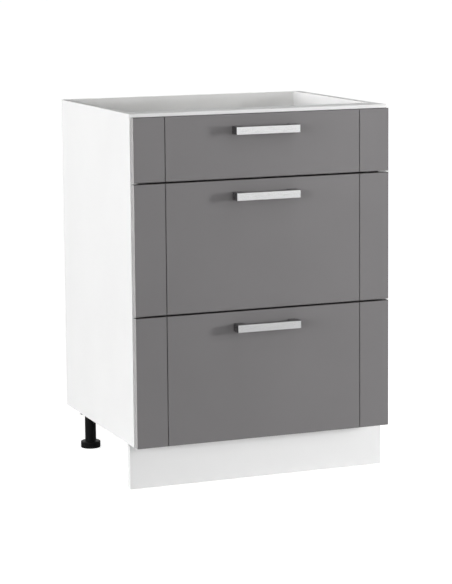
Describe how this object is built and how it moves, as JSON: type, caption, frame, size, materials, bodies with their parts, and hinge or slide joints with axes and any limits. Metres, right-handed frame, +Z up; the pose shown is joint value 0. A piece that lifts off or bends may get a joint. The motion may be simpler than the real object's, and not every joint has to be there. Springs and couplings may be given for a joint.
{
  "type": "base cabinet with drawers",
  "caption": "Kitchen base cabinet with grooved grey drawer fronts, bar handles, white open-topped carcass, telescopic runners, plinth and adjustable legs.",
  "frame": {"origin": "on the floor, at the middle of the footprint including the handles", "axes": "+Z up, +X to the right seen from the front, the drawers open towards -Y"},
  "size_m": [0.6, 0.528, 0.82],
  "materials": {
    "white_board": "white melamine facing on chipboard, fine matt grain",
    "plinth_board": "white melamine facing on chipboard",
    "white_hardboard": "white lacquered hardboard",
    "black_plastic": "black moulded plastic",
    "beech_wood": "fluted beech",
    "grey_front": "warm grey satin foil on fibreboard",
    "satin_handle": "satin, light silver",
    "drawer_board": "white melamine facing on chipboard",
    "runner_steel": "bright zinc-plated sheet",
    "cage_plastic": "natural white nylon"
  },
  "bodies": {
    "carcass": {"left_side_panel": "white_board", "right_side_panel": "white_board", "bottom_panel": "white_board", "front_top_rail": "white_board", "back_panel": "white_hardboard", "plinth_panel": "plinth_board", "plinth_clips": "black_plastic", "wooden_dowels": "beech_wood", "legs": "black_plastic", "top_cabinet_rails": "runner_steel", "middle_cabinet_rails": "runner_steel", "bottom_cabinet_rails": "runner_steel"},
    "top_drawer": {"top_front": "grey_front", "top_handle": "satin_handle", "top_box_left_side": "drawer_board", "top_box_right_side": "drawer_board", "top_box_inner_front": "drawer_board", "top_box_back": "drawer_board", "top_box_bottom": "white_hardboard", "top_drawer_rails": "runner_steel"},
    "top_runner_middle": {"top_middle_rails": "runner_steel"},
    "top_outer_cage": {"top_outer_ball_cages": "cage_plastic"},
    "top_inner_cage": {"top_inner_ball_cages": "cage_plastic"},
    "middle_drawer": {"middle_front": "grey_front", "middle_handle": "satin_handle", "middle_box_left_side": "drawer_board", "middle_box_right_side": "drawer_board", "middle_box_inner_front": "drawer_board", "middle_box_back": "drawer_board", "middle_box_bottom": "white_hardboard", "middle_drawer_rails": "runner_steel"},
    "middle_runner_middle": {"middle_middle_rails": "runner_steel"},
    "middle_outer_cage": {"middle_outer_ball_cages": "cage_plastic"},
    "middle_inner_cage": {"middle_inner_ball_cages": "cage_plastic"},
    "bottom_drawer": {"bottom_front": "grey_front", "bottom_handle": "satin_handle", "bottom_box_left_side": "drawer_board", "bottom_box_right_side": "drawer_board", "bottom_box_inner_front": "drawer_board", "bottom_box_back": "drawer_board", "bottom_box_bottom": "white_hardboard", "bottom_drawer_rails": "runner_steel"},
    "bottom_runner_middle": {"bottom_middle_rails": "runner_steel"},
    "bottom_outer_cage": {"bottom_outer_ball_cages": "cage_plastic"},
    "bottom_inner_cage": {"bottom_inner_ball_cages": "cage_plastic"},
    "front_left_foot": {"front_left_foot": "black_plastic"},
    "front_right_foot": {"front_right_foot": "black_plastic"},
    "rear_left_foot": {"rear_left_foot": "black_plastic"},
    "rear_right_foot": {"rear_right_foot": "black_plastic"}
  },
  "joints": [
    {"name": "top_drawer_slide", "type": "slide", "parent": "carcass", "child": "top_drawer", "axis": [0, -1, 0], "range_m": [0, 0.45]},
    {"name": "top_middle_rail_slide", "type": "slide", "parent": "carcass", "child": "top_runner_middle", "axis": [0, -1, 0], "range_m": [0, 0.225]},
    {"name": "top_outer_cage_slide", "type": "slide", "parent": "carcass", "child": "top_outer_cage", "axis": [0, -1, 0], "range_m": [0, 0.1125]},
    {"name": "top_inner_cage_slide", "type": "slide", "parent": "carcass", "child": "top_inner_cage", "axis": [0, -1, 0], "range_m": [0, 0.3375]},
    {"name": "middle_drawer_slide", "type": "slide", "parent": "carcass", "child": "middle_drawer", "axis": [0, -1, 0], "range_m": [0, 0.45]},
    {"name": "middle_middle_rail_slide", "type": "slide", "parent": "carcass", "child": "middle_runner_middle", "axis": [0, -1, 0], "range_m": [0, 0.225]},
    {"name": "middle_outer_cage_slide", "type": "slide", "parent": "carcass", "child": "middle_outer_cage", "axis": [0, -1, 0], "range_m": [0, 0.1125]},
    {"name": "middle_inner_cage_slide", "type": "slide", "parent": "carcass", "child": "middle_inner_cage", "axis": [0, -1, 0], "range_m": [0, 0.3375]},
    {"name": "bottom_drawer_slide", "type": "slide", "parent": "carcass", "child": "bottom_drawer", "axis": [0, -1, 0], "range_m": [0, 0.45]},
    {"name": "bottom_middle_rail_slide", "type": "slide", "parent": "carcass", "child": "bottom_runner_middle", "axis": [0, -1, 0], "range_m": [0, 0.225]},
    {"name": "bottom_outer_cage_slide", "type": "slide", "parent": "carcass", "child": "bottom_outer_cage", "axis": [0, -1, 0], "range_m": [0, 0.1125]},
    {"name": "bottom_inner_cage_slide", "type": "slide", "parent": "carcass", "child": "bottom_inner_cage", "axis": [0, -1, 0], "range_m": [0, 0.3375]},
    {"name": "front_left_foot_screw", "type": "slide", "parent": "carcass", "child": "front_left_foot", "axis": [0, 0, -1], "range_m": [0, 0.02]},
    {"name": "front_right_foot_screw", "type": "slide", "parent": "carcass", "child": "front_right_foot", "axis": [0, 0, -1], "range_m": [0, 0.02]},
    {"name": "rear_left_foot_screw", "type": "slide", "parent": "carcass", "child": "rear_left_foot", "axis": [0, 0, -1], "range_m": [0, 0.02]},
    {"name": "rear_right_foot_screw", "type": "slide", "parent": "carcass", "child": "rear_right_foot", "axis": [0, 0, -1], "range_m": [0, 0.02]}
  ],
  "couplings": [
    {"joint": "top_middle_rail_slide", "follows": "top_drawer_slide", "ratio": 0.5},
    {"joint": "top_outer_cage_slide", "follows": "top_drawer_slide", "ratio": 0.25},
    {"joint": "top_inner_cage_slide", "follows": "top_drawer_slide", "ratio": 0.75},
    {"joint": "middle_middle_rail_slide", "follows": "middle_drawer_slide", "ratio": 0.5},
    {"joint": "middle_outer_cage_slide", "follows": "middle_drawer_slide", "ratio": 0.25},
    {"joint": "middle_inner_cage_slide", "follows": "middle_drawer_slide", "ratio": 0.75},
    {"joint": "bottom_middle_rail_slide", "follows": "bottom_drawer_slide", "ratio": 0.5},
    {"joint": "bottom_outer_cage_slide", "follows": "bottom_drawer_slide", "ratio": 0.25},
    {"joint": "bottom_inner_cage_slide", "follows": "bottom_drawer_slide", "ratio": 0.75}
  ]
}
